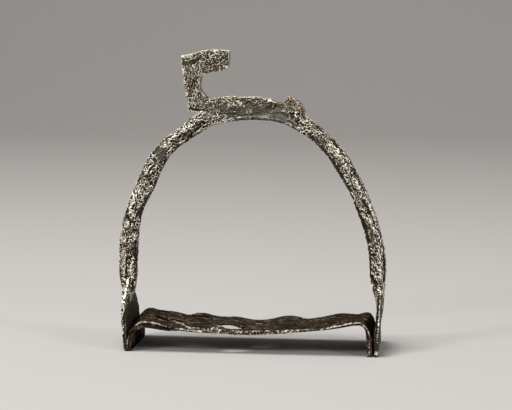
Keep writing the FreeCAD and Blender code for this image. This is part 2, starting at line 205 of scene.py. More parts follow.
def wide_normals(mesh, points, edges):
    """Normals of the shape without its edges, which turn slowly from one face to the next."""
    place_vertices(mesh, averaged(points, edges, EDGE_ROUNDS))
    normals = read(mesh.vertices, "normal", 3)
    place_vertices(mesh, points)
    return normals


def corrode(piece, shape, relief, pit_rounds):
    """Bends the piece by shape, eats its surface away by relief and keeps the marks that its material reads.

    Crests are worn bright with painted glints, edges get painted highlights, pits stay dark and hollows get
    painted shade, as far as relief's wear says.
    pit_rounds is how many rounds of averaging level single pits.
    """
    mesh = piece.data
    place_vertices(mesh, shape(read(mesh.vertices, "co", 3) / MM, read(mesh.vertices, "normal", 3)))
    points = read(mesh.vertices, "co", 3) / MM
    normals = read(mesh.vertices, "normal", 3)
    edges = np.empty(len(mesh.edges) * 2, np.int32)
    mesh.edges.foreach_get("vertices", edges)
    edges = edges.reshape(-1, 2)
    depth, wear, marks = relief(points, normals, wide_normals(mesh, points, edges))
    eaten = points - normals * depth[:, None]
    near_mean = averaged(eaten, edges, pit_rounds)
    far_mean = averaged(near_mean, edges, EDGE_ROUNDS)
    proud = standing(np.einsum("ij,ij->i", eaten - near_mean, normals))
    edge = np.einsum("ij,ij->i", near_mean - far_mean, normals)
    # Painted glints on crests and painted highlights on edges, along with their wear, and painted shade in
    # hollows
    worn = MIDDLE_SHINE + wear * (CREST_WEAR_AND_GLINT * proud + EDGE_WEAR_AND_PAINTED_LIGHT * edge)
    marks["bright"] = np.clip(worn + marks["bright"], 0.0, 1.0)
    low, high = (np.array(corner) / MM for corner in cad_box)
    place_vertices(mesh, np.clip(eaten, low, high))
    for name, values in marks.items():
        write_mark(mesh, name, values)
    return piece


# Contact faces, pushed into the welded neighbour so that corrosion opens no gap along the seam

WELD_SINK = 0.5
# Points this close to a contact plane lie on it
NEAR = 0.02
# Each scarf: its upper and lower end in x and z, and the side that the bridge lies on
LEFT_SCARF = ((-13.17, 128.98), (-39.51, 90.06), 1.0)
RIGHT_SCARF = ((11.59, 128.98), (31.74, 90.06), -1.0)


def keep(points):
    """Leaves the contact faces where they are."""
    return points


def sink_scarf(scarf):
    """What pushes an arm's scarfed end into the bridge."""
    upper, lower, side = scarf

    def sink(points):
        run = np.array(lower) - np.array(upper)
        run /= np.linalg.norm(run)
        across = np.array([-run[1], run[0]]) * side
        touching = np.abs((points[:, [0, 2]] - np.array(upper)) @ across) < NEAR
        points[touching, 0] += WELD_SINK * across[0]
        points[touching, 2] += WELD_SINK * across[1]
        return points
    return sink


def sink_foot(points):
    """The strap loop's foot, pushed down into the crown."""
    points[points[:, 2] < points[:, 2].min() + NEAR, 2] -= WELD_SINK
    return points


# Shapes that wear has bent or torn

# The heights between which the crown thins, and how far it then reaches to either side of y = 0
CROWN_TAPER = (111.0, 116.2)
CROWN_TOP_HALF_DEPTH = 2.9


def as_forged(points, normals):
    """Leaves the CAD shape as it is."""
    return points


def taper_crown(points, normals):
    """Thins the bar towards its dressed top, to the strap loop's own depth."""
    share = smooth_step(*CROWN_TAPER, points[:, 2])
    over = np.maximum(np.abs(points[:, 1]) - CROWN_TOP_HALF_DEPTH, 0.0)
    points[:, 1] -= np.sign(points[:, 1]) * over * share
    return points


# The front edges of the foot plates and of the tabs have come apart: how far each leans to the right,
# at heights above the floor
LEAN_HEIGHTS = (0.0, 4.0, 8.5, 12.6, 24.0)
LEFT_PLATE_LEAN = (0.7, 0.4, 0.1, 0.0, 0.0)
RIGHT_PLATE_LEAN = (0.8, 0.8, 0.7, 0.6, 0.0)
LEFT_TAB_LEAN = (0.0, 0.5, 1.5, 0.0, 0.0)
RIGHT_TAB_LEAN = (-0.2, -0.35, -0.4, 0.0, 0.0)
# The lean is whole before the first y and gone behind the second
LEAN_FRONT = -18.5
LEAN_BACK = -13.2
# The tabs lie beyond this distance from the middle
TAB_ZONE = 53.0


def front_lean(points, leans):
    """How far the front edge of a plate leans to the right at each point."""
    near = 1.0 - smooth_step(LEAN_FRONT, LEAN_BACK, points[:, 1])
    return near * np.interp(points[:, 2], LEAN_HEIGHTS, leans)


def bend_arm(plate_lean):
    """What leans the front of an arm's foot plate and thins its end on the crown."""
    def bend(points, normals):
        points[:, 0] += front_lean(points, plate_lean)
        return taper_crown(points, normals)
    return bend


# The tear: its middle line in x and y, and along it the rise of the lip behind it, how much that lip
# thins from below, and the rise of the strip before it, which meets the lip at the left end
TEAR_LINE = ((-16.5, -15.9), (-2.2, -13.4))
TEAR_PLACES = (-24.0, -20.0, -17.0, -14.3, -12.8, -11.0, -8.5, -5.0, -2.5, 1.0)
LIP_RISE = (0.0, 0.5, 1.4, 2.0, 1.9, 1.7, 1.3, 0.8, 0.5, 0.0)
LIP_THINNING = (0.0, 0.0, 0.6, 1.2, 1.8, 1.8, 1.7, 1.5, 1.3, 0.0)
STRIP_RISE = (0.0, 0.5, 1.4, 2.0, 1.2, 0.3, -0.1, 0.0, 0.0, 0.0)
# How far behind the tear the lip begins to sink back, and where it is level again
LIP_FRONT = 1.5
LIP_BACK = 18.0
# The rise of the tread's back edge near its right end, along x, and the y where it begins and is whole
BACK_PLACES = (36.0, 42.0, 48.0, 53.0, 56.0)
BACK_RISE = (0.0, 0.4, 0.9, 0.5, 0.0)
BACK_MIDDLE = 6.0
BACK_EDGE = 18.0
# How softly the lip turns into the strip where the plate is whole and where it is torn, and how far
# before the tear's left end the one begins to turn into the other and has done so
CLOSED_SOFTNESS = 3.5
TORN_SOFTNESS = 0.4
CLOSED_END = 2.0
TORN_START = 0.5


def tear_shares(points):
    """How much each point belongs to the lip behind the tear, and to the strip before it."""
    x, y = points[:, 0], points[:, 1]
    (x0, y0), (x1, y1) = TEAR_LINE
    behind = y - (y0 + (y1 - y0) * (x - x0) / (x1 - x0))
    torn = smooth_step(x0 - CLOSED_END, x0 - TORN_START, x)
    softness = CLOSED_SOFTNESS + (TORN_SOFTNESS - CLOSED_SOFTNESS) * torn
    side = smooth_step(-softness, softness, behind)
    lip = side * (1.0 - smooth_step(LIP_FRONT, LIP_BACK, behind))
    return lip, 1.0 - side


def bend_tread(points, normals):
    """Leans the fronts of the tabs, and lifts both sides of the tear and part of the back edge."""
    points[:, 0] += (points[:, 0] < -TAB_ZONE) * front_lean(points, LEFT_TAB_LEAN)
    points[:, 0] += (points[:, 0] > TAB_ZONE) * front_lean(points, RIGHT_TAB_LEAN)
    lip, strip = tear_shares(points)
    lip_rise, thinning, strip_rise = (
        np.interp(points[:, 0], TEAR_PLACES, heights) for heights in (LIP_RISE, LIP_THINNING, STRIP_RISE)
    )
    underside = 0.5 - 0.5 * normals[:, 2]
    points[:, 2] += lip * (lip_rise + thinning * underside)
    points[:, 2] += strip * strip_rise * (1.0 - underside)
    back = smooth_step(BACK_MIDDLE, BACK_EDGE, points[:, 1])
    points[:, 2] += back * np.interp(points[:, 0], BACK_PLACES, BACK_RISE)
    return points


# Reliefs: for each point the depth eaten away, how far wear and painted glints brighten what stands out, and
# how much brighter, smoother or redder its surface is. Each noise in a relief has a seed of its own, counted
# on from the relief's

FRONT = (0.0, -1.0, 0.0)
TOP = (0.0, 0.0, 1.0)
UNDERSIDE = (0.0, 0.0, -1.0)


def facing(normals, direction, low=0.15, high=0.5):
    """1 where a surface faces a direction and 0 where it faces elsewhere."""
    return smooth_step(low, high, normals @ np.array(direction))


# Crests between pits: how they slant, how long, wide and deep they and the lumps on them are, how far
# they wander over what length, and how high crests and lumps stand
SLANT = 34.0
CREST_SIZE = (3.8, 1.5, 2.6)
CREST_LUMP_SIZE = (1.3, 1.0, 1.0)
CREST_WANDER = 0.9
CREST_WANDER_SIZE = (4.0, 4.0, 4.0)
CREST_HEIGHT = 0.75
CREST_LUMP_HEIGHT = 0.35
CREST_MIDDLE = 0.5


def pitted(run, seed, size=1.0):
    """Crossing crests of sound metal between pits, from 0 in a pit to 1 on a crest."""
    crest_size = size * np.array(CREST_SIZE)
    lump_size = size * np.array(CREST_LUMP_SIZE)
    bent = run + CREST_WANDER * field(run, CREST_WANDER_SIZE, seed + 3)[:, None]
    up = ridges(turned(bent, SLANT), crest_size, seed)
    down = ridges(turned(bent, -SLANT), crest_size, seed + 1)
    lumps = 0.5 + 0.5 * field(run, lump_size, seed + 2, octaves=2)
    return np.clip(CREST_HEIGHT * np.maximum(up, down) + CREST_LUMP_HEIGHT * lumps, 0.0, 1.0)


def levelled(crest, calm):
    """Crests and pits drawn to their middle height, as far as calm says."""
    return crest + calm * (CREST_MIDDLE - crest)


# The steps between split layers: where in the layers' noise each begins and ends, and its height
LEDGE_STEPS = ((-0.05, 0.05, 0.6), (0.30, 0.38, 0.4))


def ledges(run, size, seed):
    """Layers of iron that have split along the run: 1 on the upper layer and 0 on the lower one."""
    layers = field(run, size, seed, octaves=2)
    return sum(height * smooth_step(low, high, layers) for low, high, height in LEDGE_STEPS)


def slants(run):
    """The places that the material's fine crossing threads follow."""
    return {"slant_up": turned(run, SLANT), "slant_down": turned(run, -SLANT)}


# A stroke covers its line up to the first share of its half width and ends at the second
STROKE_CORE = 0.1
STROKE_END = 1.1
# How far its edge wanders, in half widths
STROKE_WANDER = 0.6
STROKE_WANDER_SIZE = (1.5, 1.5, 1.5)
STROKE_SEED = 41
# A bright stroke is broken up: its mean brightness, how far it varies, and at the most
BREAK_MEAN = 0.7
BREAK_SPREAD = 2.6
BREAK_MOST = 2.0
BREAK_SIZE = (0.9, 2.6, 0.9)
BREAK_SEED = 42
# How far a dark stroke levels the pits that it crosses
STROKE_CALM = 0.65


def strokes(points, axes, cover, lines):
    """Drawn grooves and crests, from lines in the plane of two axes.

    Gives their depth and brightness, and how far they level the pits.
    """
    depth = np.zeros(len(points))
    shine = np.zeros(len(points))
    calm = np.zeros(len(points))
    plane = points[:, axes]
    wander = STROKE_WANDER * field(points, STROKE_WANDER_SIZE, STROKE_SEED, octaves=2)
    varied = BREAK_MEAN + BREAK_SPREAD * field(points, BREAK_SIZE, BREAK_SEED, octaves=2)
    broken = np.clip(varied, 0.0, BREAK_MOST)
    for line, half_width, cut, brightness in lines:
        share = distance_to_line(plane, line) / half_width + wander
        near = cover * (1.0 - smooth_step(STROKE_CORE, STROKE_END, share))
        depth += cut * near
        if brightness > 0.0:
            shine += brightness * near * broken
        else:
            shine += brightness * near
            calm = np.maximum(calm, STROKE_CALM * near)
    return depth, shine, calm


# The same for a patch, in shares of its radius
PATCH_CORE = 0.5
PATCH_END = 1.15
PATCH_WANDER = 0.35
PATCH_WANDER_SIZE = (2.5, 2.5, 2.5)
PATCH_SEED = 40


def patches(points, axes, spots):
    """Patches, each a centre in the plane of two axes, a radius and a strength."""
    cover = np.zeros(len(points))
    plane = points[:, axes]
    wander = PATCH_WANDER * field(points, PATCH_WANDER_SIZE, PATCH_SEED)
    for centre, radius, strength in spots:
        share = np.linalg.norm(plane - np.array(centre), axis=1) / radius + wander
        cover = np.maximum(cover, strength * (1.0 - smooth_step(PATCH_CORE, PATCH_END, share)))
    return cover


X_Z = [0, 2]
X_Y = [0, 1]

# Lines on the arms' fronts: places in x and z, half width, depth and brightness
LEFT_ARM_LINES = [
    ([(-61.4, 43.0), (-61.7, 38.5), (-61.6, 34.6), (-61.8, 31.1)], 0.8, 0.5, -0.12),
    ([(-58.9, 43.1), (-59.0, 39.6), (-59.5, 35.1), (-59.6, 32.1)], 1.2, -0.2, 0.35),
    ([(-63.4, 45.5), (-63.7, 39.5), (-63.4, 32.5)], 1.3, -0.1, 0.15),
    ([(-57.1, 51.1), (-56.9, 44.6), (-56.9, 37.6), (-56.9, 31.7)], 1.5, 0.3, -0.08),
    ([(-61.7, 63.4), (-60.2, 62.6), (-58.5, 61.2)], 1.4, 0.5, -0.10),
    ([(-57.7, 74.3), (-59.2, 70.3), (-60.0, 66.3)], 1.4, -0.2, 0.30),
    ([(-61.0, 60.4), (-61.8, 56.4), (-62.6, 51.9)], 1.2, -0.2, 0.25),
    ([(-51.2, 72.9), (-53.2, 68.9), (-54.7, 65.4)], 1.6, 0.2, -0.05),
    ([(-31.8, 108.9), (-34.7, 106.4), (-38.7, 102.5), (-42.1, 98.5)], 2.0, -0.3, 0.30),
    ([(-61.2, 32.6), (-61.3, 25.3), (-61.2, 17.9), (-60.9, 10.5)], 1.1, -0.1, 0.60),
    ([(-61.5, 11.9), (-61.2, 5.5), (-60.4, 0.6)], 0.6, 0.0, 0.60),
    ([(-60.0, 13.0), (-59.4, 1.0)], 0.6, 0.2, -0.25),
    ([(-58.8, 28.5), (-58.8, 25.0), (-59.6, 21.5)], 1.2, 0.1, -0.12),
]
RIGHT_ARM_LINES = [
    ([(38.0, 98.6), (43.7, 92.6), (47.6, 86.8), (51.5, 80.5), (54.6, 75.0)], 1.9, -0.2, 0.34),
    ([(27.5, 105.0), (34.3, 98.6), (39.6, 92.1), (44.9, 84.0), (48.3, 76.9)], 1.1, 0.1, -0.10),
    ([(31.4, 110.2), (38.6, 104.5), (44.6, 97.5)], 1.2, 0.1, -0.10),
    ([(48.4, 74.7), (49.6, 72.5)], 1.3, 0.8, -0.25),
    ([(50.1, 71.1), (52.1, 67.7), (53.3, 64.8)], 1.2, 0.2, -0.06),
    ([(54.9, 76.1), (57.9, 70.9), (59.9, 66.0), (60.5, 64.4)], 0.7, -0.4, 1.10),
    ([(56.5, 71.4), (57.3, 69.0), (57.6, 67.3)], 1.1, 0.3, -0.10),
    ([(53.9, 67.5), (54.5, 66.0)], 1.0, -0.2, 0.30),
    ([(56.2, 65.1), (57.9, 63.4)], 1.1, -0.3, 0.30),
    ([(54.3, 63.1), (55.2, 60.0), (56.1, 56.6), (56.8, 53.2)], 1.5, 0.3, -0.18),
    ([(57.4, 50.7), (57.8, 43.9), (58.1, 39.0), (58.9, 35.1)], 0.6, 0.2, -0.10),
    ([(59.2, 35.9), (60.3, 32.2)], 1.4, 0.4, -0.20),
    ([(64.7, 54.3), (65.4, 47.5), (65.5, 41.1), (65.3, 34.2)], 0.9, 0.2, -0.04),
    ([(61.9, 51.3), (62.9, 46.4), (63.4, 42.0), (63.0, 37.1)], 1.6, -0.2, 0.30),
    ([(63.9, 25.1), (63.9, 21.2), (63.6, 18.3), (63.2, 15.4), (62.9, 7.5)], 0.8, -0.1, 0.95),
    ([(62.5, 27.6), (62.6, 19.3), (62.3, 12.0)], 0.8, 0.2, -0.50),
]
# The recess beside the left scarf with a rib in it, and the thin edge under the recess and the bridge
BRIDGE_LINES = [
    # The recess is darkened a little, as painted shade under the arm's blunt end
    ([(-30.5, 103.9), (-28.0, 106.9), (-25.4, 109.2), (-23.2, 111.0)], 1.6, 0.8, -0.08),
    ([(-29.6, 104.8), (-26.9, 107.4), (-24.2, 109.5)], 0.6, -0.5, 0.20),
    ([(-30.7, 102.8), (-27.4, 105.2), (-23.4, 107.2), (-18.9, 109.0)], 0.8, -0.2, 0.40),
    ([(-18.9, 110.0), (-9.1, 112.7), (2.5, 113.6), (14.2, 112.0), (22.9, 108.4)], 0.6, -0.1, 0.20),
]
LOOP_LINES = [
    ([(-32.6, 139.3), (-29.9, 139.1), (-27.2, 140.1), (-24.9, 142.2)], 1.4, 0.22, -0.01),
    ([(-33.3, 142.2), (-31.3, 142.5), (-28.9, 141.9)], 1.4, -0.3, 0.20),
    ([(-33.5, 137.8), (-32.8, 131.0), (-31.4, 123.8), (-30.7, 118.4)], 0.8, 0.0, 0.40),
    ([(-12.3, 139.4), (-12.0, 137.9)], 1.0, -0.1, 0.55),
    ([(-30.0, 117.1), (-26.0, 116.4), (-22.0, 116.3)], 0.9, 0.6, -0.30),
    ([(-11.9, 117.2), (-9.9, 120.1), (-5.5, 119.2)], 1.6, -0.2, 0.20),
]

# Smooth patches: a centre in x and z, a radius and how green it is
ARM_PATCHES = [((-44.5, 95.1), 3.4, 1.0), ((33.7, 101.2), 3.0, 0.7)]
CROWN_PATCHES = [
    ((-20.0, 115.0), 4.0, 0.60),
    ((-12.0, 115.6), 5.0, 0.65),
    ((-4.0, 115.2), 5.0, 0.70),
    ((4.5, 114.6), 5.8, 1.0),
    ((12.5, 113.3), 5.2, 1.0),
    ((19.0, 110.6), 3.6, 0.70),
]
# Rust: a centre, a radius and how rusty
NUB_SPOTS = [((18.5, 121.0), 4.5, 0.9), ((23.0, 119.0), 4.5, 0.9), ((13.0, 120.5), 3.0, 0.6)]
SCARF_SPOTS = [((-28.5, 105.4), 2.6, 0.9), ((-25.5, 108.3), 2.4, 0.9)]

# Where a foot plate turns into the bar, above the floor, and where the painted shade on the bar's sides
# begins
PLATE_BOTTOM = 16.0
PLATE_TOP = 33.0
SIDES_BOTTOM = 30.0
SIDES_TOP = 38.0
# On the inner face the texture of the bar ends in a slanting line: its height at y = 0, its slope, how
# soft it is to either side and how far it wanders
BEND_HEIGHT = 24.2
BEND_SLOPE = 0.38
BEND_SOFTNESS = 2.5
BEND_WANDER = 2.0
BEND_WANDER_SIZE = (3.0, 3.0, 3.0)
BEND_SEED = 44
# Where chips at the front of a foot plate's inner face begin and end
CHIPS_FRONT = -18.5
CHIPS_BACK = -14.5
# How far a face has to turn inwards, outwards, to the front or down to begin to count, and to count whole
INNER_FACING = (0.30, 0.80)
OUTER_FACING = (0.45, 0.95)
BAR_FRONT_FACING = (0.45, 0.97)
UNDER_FACING = (-0.2, 0.5)


def plate_faces(points, outwards):
    """How far points lie on a foot plate, and of those on its inner and on its outer face."""
    plate = 1.0 - smooth_step(PLATE_BOTTOM, PLATE_TOP, points[:, 2])
    bend_line = BEND_HEIGHT + BEND_SLOPE * points[:, 1]
    above_bend = points[:, 2] - bend_line + BEND_WANDER * field(points, BEND_WANDER_SIZE, BEND_SEED)
    below_bend = 1.0 - smooth_step(-BEND_SOFTNESS, BEND_SOFTNESS, above_bend)
    inner = smooth_step(*INNER_FACING, -outwards) * below_bend
    outer = smooth_step(*OUTER_FACING, outwards)
    return plate, inner, outer


# The bar's noise: its length along the run, outwards and in y
BAR_BROAD = (14.0, 6.0, 6.0)
BAR_QUIET = (7.0, 3.0, 3.0)
BAR_LAYER = (26.0, 3.2, 3.2)
BAR_LUMP = (5.0, 2.6, 2.6)
BAR_STREAK = (9.0, 1.3, 1.3)
PLATE_GRAIN = (1.5, 1.5, 1.5)
# How far green patches, a plate's outer face and the quiet stretches of the bar level the pits, and
# where in their noise those stretches begin and are whole
PATCH_CALM = 0.70
OUTER_CALM = 0.4
QUIET_CALM = 0.6
QUIET_NOISE = (0.15, 0.6)
# How far the bar's crests stand over its CAD surface, how deep each kind of wear goes below that, and
# how much of all this a foot plate is spared
BAR_SWELL = 0.48
LAYER_DEPTH = 0.30
LUMP_DEPTH = 0.18
STREAK_DEPTH = 0.12
BROAD_DEPTH = 0.12
PLATE_SPARED = 0.75
PLATE_GRAIN_DEPTH = 0.42
# How much brighter each part of the bar is, and how much painted shade darkens its sides
BROAD_SHINE = 0.20
LUMP_SHINE = 0.22
CALM_DULLS = 0.7
FRONT_SHINE = 0.03
SIDE_PAINTED_SHADE = 0.24
PATCH_SHINE = 0.13
# The same for a foot plate: its grain, its inner and outer face, its front edge and the chips there
PLATE_GRAIN_SHINE = 0.20
INNER_SHINE = 0.10
OUTER_SHINE = 0.10
EDGE_SHADE = 0.26
EDGE_GRAIN_SHINE = 0.35
CHIP_SHINE = 0.30
CHIP_GRAIN_SHINE = 0.45
# How green a plate's outer face is, how rusty its inner one, and how far calm places and plates are
# spared the brightening of what stands out
OUTER_GREEN = 0.7
INNER_RUST = 0.6
CALM_SPARED = 0.85
PLATE_WEAR_SPARED = 0.7


def bar_relief(seed, lines, spots, pit_depth, under_painted_shade):
    """The wear of a bar: strokes along lines on its front, green patches at spots, and pits.

    under_painted_shade is how much more painted shade darkens its sides where they face the opening.
    """
    def relief(points, normals, wide):
        run = run_places(points)
        outwards = wide[:, 0] * np.sign(points[:, 0])
        plate, inner, outer = plate_faces(points, outwards)
        chipped = plate * inner * (1.0 - smooth_step(CHIPS_FRONT, CHIPS_BACK, points[:, 1]))
        bar = smooth_step(SIDES_BOTTOM, SIDES_TOP, points[:, 2])
        front = facing(normals, FRONT)
        sides = 1.0 - smooth_step(*BAR_FRONT_FACING, np.abs(wide[:, 1]))
        downwards = -(wide[:, 2] + outwards * (points[:, 2] < ARCH_CENTRE[1]))
        under = smooth_step(*UNDER_FACING, downwards)
        cover = patches(points, X_Z, spots)
        scarf = patches(points, X_Z, SCARF_SPOTS)
        drawn, shine, calm = strokes(points, X_Z, front, lines)
        plate_calm = plate * np.maximum(inner, OUTER_CALM * outer)
        calm = np.maximum(calm, np.maximum(PATCH_CALM * cover, plate_calm))
        quiet = QUIET_CALM * smooth_step(*QUIET_NOISE, field(run, BAR_QUIET, seed + 9, octaves=2))

        broad = field(run, BAR_BROAD, seed + 5, octaves=2)
        streaks = field(run, BAR_STREAK, seed + 6, octaves=2)
        lumps = field(run, BAR_LUMP, seed + 7, octaves=2)
        layer = ledges(run, BAR_LAYER, seed + 8)
        grain = field(points, PLATE_GRAIN, seed + 12, octaves=2)
        crest = levelled(pitted(run, seed), np.maximum(calm, quiet))

        depth = pit_depth * (1.0 - crest) - BAR_SWELL
        depth += LAYER_DEPTH * (1.0 - layer) + LUMP_DEPTH * (1.0 - lumps)
        depth += STREAK_DEPTH * (1.0 - streaks) + BROAD_DEPTH * broad
        depth = (1.0 - PLATE_SPARED * plate) * depth + drawn
        depth += PLATE_GRAIN_DEPTH * plate * grain

        shine += (BROAD_SHINE * broad + LUMP_SHINE * lumps) * (1.0 - CALM_DULLS * calm)
        # Painted shade: the bar's sides are darker as they turn away round the bar, and darker still where
        # they face the opening
        shine += bar * (FRONT_SHINE - sides * (SIDE_PAINTED_SHADE + under_painted_shade * under))
        shine += plate * (PLATE_GRAIN_SHINE * grain + INNER_SHINE * inner + OUTER_SHINE * outer)
        shine += plate * front * (EDGE_GRAIN_SHINE * grain - EDGE_SHADE)
        shine += chipped * (CHIP_SHINE + CHIP_GRAIN_SHINE * grain) + PATCH_SHINE * cover
        wear = (1.0 - CALM_SPARED * calm) * (1.0 - PLATE_WEAR_SPARED * plate)
        marks = {
            "bright": shine,
            "patch": np.maximum(cover, OUTER_GREEN * plate * outer),
            "rust": np.maximum(INNER_RUST * plate * inner, scarf),
            "calm": np.maximum(calm, quiet),
            **slants(run),
        }
        return depth, wear, marks
    return relief


# The left post ends here and the bars begin
LOOP_POST = -25.5
# The loop's noise
LOOP_BROAD = (8.0, 8.0, 8.0)
LOOP_LUMP = (3.0, 3.0, 3.0)
# The size of its pits beside the bar's, and how far a patch levels them
LOOP_PIT_SIZE = 0.8
LOOP_PATCH_CALM = 0.75
# How far its crests stand over its CAD surface, and how deep each kind of wear goes below that
LOOP_SWELL = 0.25
LOOP_PIT_DEPTH = 0.42
LOOP_LUMP_DEPTH = 0.14
LOOP_BROAD_DEPTH = 0.12
# How green its broad lumps are, and where in their noise the green begins and is whole
BROAD_GREEN = 0.5
GREEN_NOISE = (0.0, 0.45)
# How much brighter each kind of place is, how much painted shade darkens the edges, how far a face has to
# turn to the front to be no edge, and how far calm places are spared the brightening of what stands out
LOOP_BROAD_SHINE = 0.14
LOOP_LUMP_SHINE = 0.16
LOOP_PATCH_SHINE = 0.12
LOOP_EDGE_PAINTED_SHADE = 0.10
LOOP_FRONT_FACING = (0.45, 0.93)
LOOP_CALM_SPARED = 0.8


def loop_relief(seed):
    """The wear of the strap loop: strokes, patches, rust on its stub, and fine pits."""
    def relief(points, normals, wide):
        post = points[:, 0] < LOOP_POST
        run = np.where(post[:, None], points[:, [2, 0, 1]], points)
        cover = patches(points, X_Z, CROWN_PATCHES)
        drawn, shine, calm = strokes(points, X_Z, facing(normals, FRONT), LOOP_LINES)
        calm = np.maximum(calm, LOOP_PATCH_CALM * cover)
        broad = field(points, LOOP_BROAD, seed + 5, octaves=2)
        lumps = field(points, LOOP_LUMP, seed + 7, octaves=2)
        crest = levelled(pitted(run, seed, LOOP_PIT_SIZE), calm)
        depth = LOOP_PIT_DEPTH * (1.0 - crest) + LOOP_LUMP_DEPTH * (1.0 - lumps)
        depth += LOOP_BROAD_DEPTH * broad + drawn - LOOP_SWELL
        edges = 1.0 - smooth_step(*LOOP_FRONT_FACING, np.abs(wide[:, 1]))
        shine += LOOP_BROAD_SHINE * broad + LOOP_LUMP_SHINE * lumps
        # Painted shade on the edges that turn away from the front
        shine += LOOP_PATCH_SHINE * cover - LOOP_EDGE_PAINTED_SHADE * edges
        marks = {
            "bright": shine,
            "patch": np.maximum(cover, BROAD_GREEN * smooth_step(*GREEN_NOISE, broad)),
            "rust": patches(points, X_Z, NUB_SPOTS),
            "calm": calm,
            **slants(run),
        }
        return depth, 1.0 - LOOP_CALM_SPARED * calm, marks
    return relief


# Lines on the tread's top: places in x and y, half width, depth and brightness
TREAD_LINES = [
    # The first two lines are black cracks: the shaded walls of ledges that face the front, painted as shade
    # over grooves 1.4 mm deep
    ([(-47.0, -0.6), (-44.5, -3.2), (-41.2, -5.6)], 3.6, 1.4, -1.20),
    ([(-37.0, -2.2), (-35.0, -4.0)], 3.0, 1.4, -1.20),
    ([(-38.2, -5.5), (-35.7, -8.3), (-33.6, -10.6)], 1.8, -0.4, 0.38),
    ([(-33.4, -9.8), (-30.4, -14.8), (-27.7, -18.5)], 1.2, -0.3, 0.30),
    ([(-30.0, -16.0), (-24.0, -17.0)], 1.2, -0.3, 0.25),
    ([(41.0, -14.6), (42.6, -10.2), (46.0, -8.0)], 1.2, -0.2, 0.28),
    ([(43.2, -16.0), (46.0, -13.4), (50.0, -12.0)], 1.6, 0.8, -0.60),
    ([(20.5, 16.2), (24.7, 14.0)], 2.0, -0.4, 0.12),
    ([(4.0, -2.0), (12.0, -3.5), (22.0, -5.0)], 1.6, 0.5, -0.25),
    ([(-8.0, 2.0), (4.0, 4.0)], 1.8, 0.4, -0.25),
    ([(-28.0, 6.0), (-14.0, 4.0)], 1.8, 0.4, -0.25),
    ([(-34.0, 9.0), (-24.0, 11.0)], 1.6, 0.4, -0.25),
    ([(26.0, 4.0), (40.0, 8.0)], 1.6, 0.4, -0.25),
]
# Lines on the tread's front rim: places in x and z, half width, depth and brightness
RIM_LINES = [
    ([(-57.6, 10.6), (-54.9, 13.2), (-51.9, 14.7), (-48.1, 14.7), (-43.9, 13.9)], 0.45, -0.1, 0.58),
    ([(-43.9, 13.9), (-41.2, 13.2), (-36.8, 12.2)], 0.40, -0.1, 0.48),
    ([(-32.4, 12.0), (-30.9, 11.1), (-25.1, 11.0), (-22.1, 10.8)], 0.4, -0.1, 0.45),
    ([(-22.1, 10.8), (-18.7, 12.2), (-16.3, 13.0), (-14.5, 12.0), (-12.5, 11.2)], 0.35, -0.1, 0.25),
    ([(-3.9, 11.0), (-2.3, 11.0)], 0.6, -0.2, 0.35),
    ([(16.9, 11.3), (21.7, 11.6), (27.0, 12.1)], 0.45, -0.1, 0.40),
    ([(35.7, 12.9), (40.0, 14.0), (44.8, 15.0), (48.6, 16.1), (54.9, 16.9)], 0.5, -0.2, 0.95),
    ([(54.9, 16.9), (55.8, 15.6), (57.8, 13.7), (58.7, 11.3), (59.0, 9.9)], 0.5, -0.1, 0.60),
    ([(46.5, 13.4), (48.6, 14.1)], 0.5, -0.2, 0.40),
    ([(36.0, 11.6), (42.0, 12.8), (50.0, 14.9), (54.0, 15.4)], 0.8, 0.2, -0.30),
    ([(58.9, 8.0), (59.0, 1.0)], 0.40, -0.1, 0.50),
    ([(-58.6, 8.5), (-59.0, 1.0)], 0.45, -0.1, 0.40),
]
# Rust on the tread's top: a centre, a radius and how rusty
TREAD_RUST = [
    ((-44.0, 10.0), 5.0, 0.9),
    ((-42.0, 3.0), 4.0, 0.9),
    ((3.0, -3.0), 7.0, 0.9),
    ((10.0, -12.0), 6.0, 0.9),
    ((59.0, -18.0), 5.0, 1.0),
    ((-46.0, -18.5), 7.0, 0.8),
    ((-36.0, -18.5), 6.0, 0.8),
]
# The tread's noise, and that of its rim
TREAD_LAYER = (22.0, 5.0, 5.0)
TREAD_STREAK = (7.0, 2.8, 2.0)
TREAD_GRAIN = (1.6, 1.6, 1.6)
RIM_LUMP = (0.9, 0.9, 0.7)
# Before this y, which the streaks shift, lies the rim; it turns into the top between the two offsets
RIM = -18.3
RIM_START = -0.6
RIM_END = 0.8
RIM_WANDER = 0.5
# The middle of the rim's lumpy stretch, how far to the right it is whole and has ended, and how near
# a place to the left counts beside one to the right
RIM_MIDDLE = -2.0
RIM_LUMPY = (22.0, 36.0)
RIM_LEFT_STRETCH = 0.75
# How far from the middle the tread is level, and where it has turned into a tab
LEVEL_ZONE = (48.0, 54.0)
# How far a face has to turn sideways to be a tab's
TAB_FACING = (0.30, 0.75)
# The front of the left tab has thinned from the inside, by TAB_LOSS, below TAB_TOP
TAB_TOP = 11.0
TAB_LOSS = 0.6
TAB_INNER_FACING = (0.3, 0.8)
# How deep each kind of wear goes, how far lumps stand out of the rim, and how much the lip is spared
TREAD_LAYER_DEPTH = 0.35
TREAD_STREAK_HEIGHT = 0.22
TREAD_GRAIN_HEIGHT = 0.07
RIM_DEPTH = 0.10
RIM_LUMP_HEIGHT = 0.35
LIP_SPARED = 0.8
# How much brighter each kind of place is, how much darker the whole, the rim and the tabs are, and how much
# painted shade darkens the underside
TREAD_STREAK_SHINE = 0.21
TREAD_GRAIN_SHINE = 0.20
RIM_LUMP_SHINE = 0.30
RIM_LUMPY_SHARE = 0.6
TREAD_SHADE = 0.03
RIM_SHADE = 0.05
TAB_SHADE = 0.35
UNDERSIDE_PAINTED_SHADE = 0.30
UNDERSIDE_FACING = (0.2, 0.6)
# How far what stands out is brightened, and how much less so at the ends of the rim
TREAD_WEAR = 0.35
RIM_END_SPARED = 0.15
# How much of the rim's own colour its ends take; its lumpy stretch takes all of it
RIM_END_COLOUR = 0.3


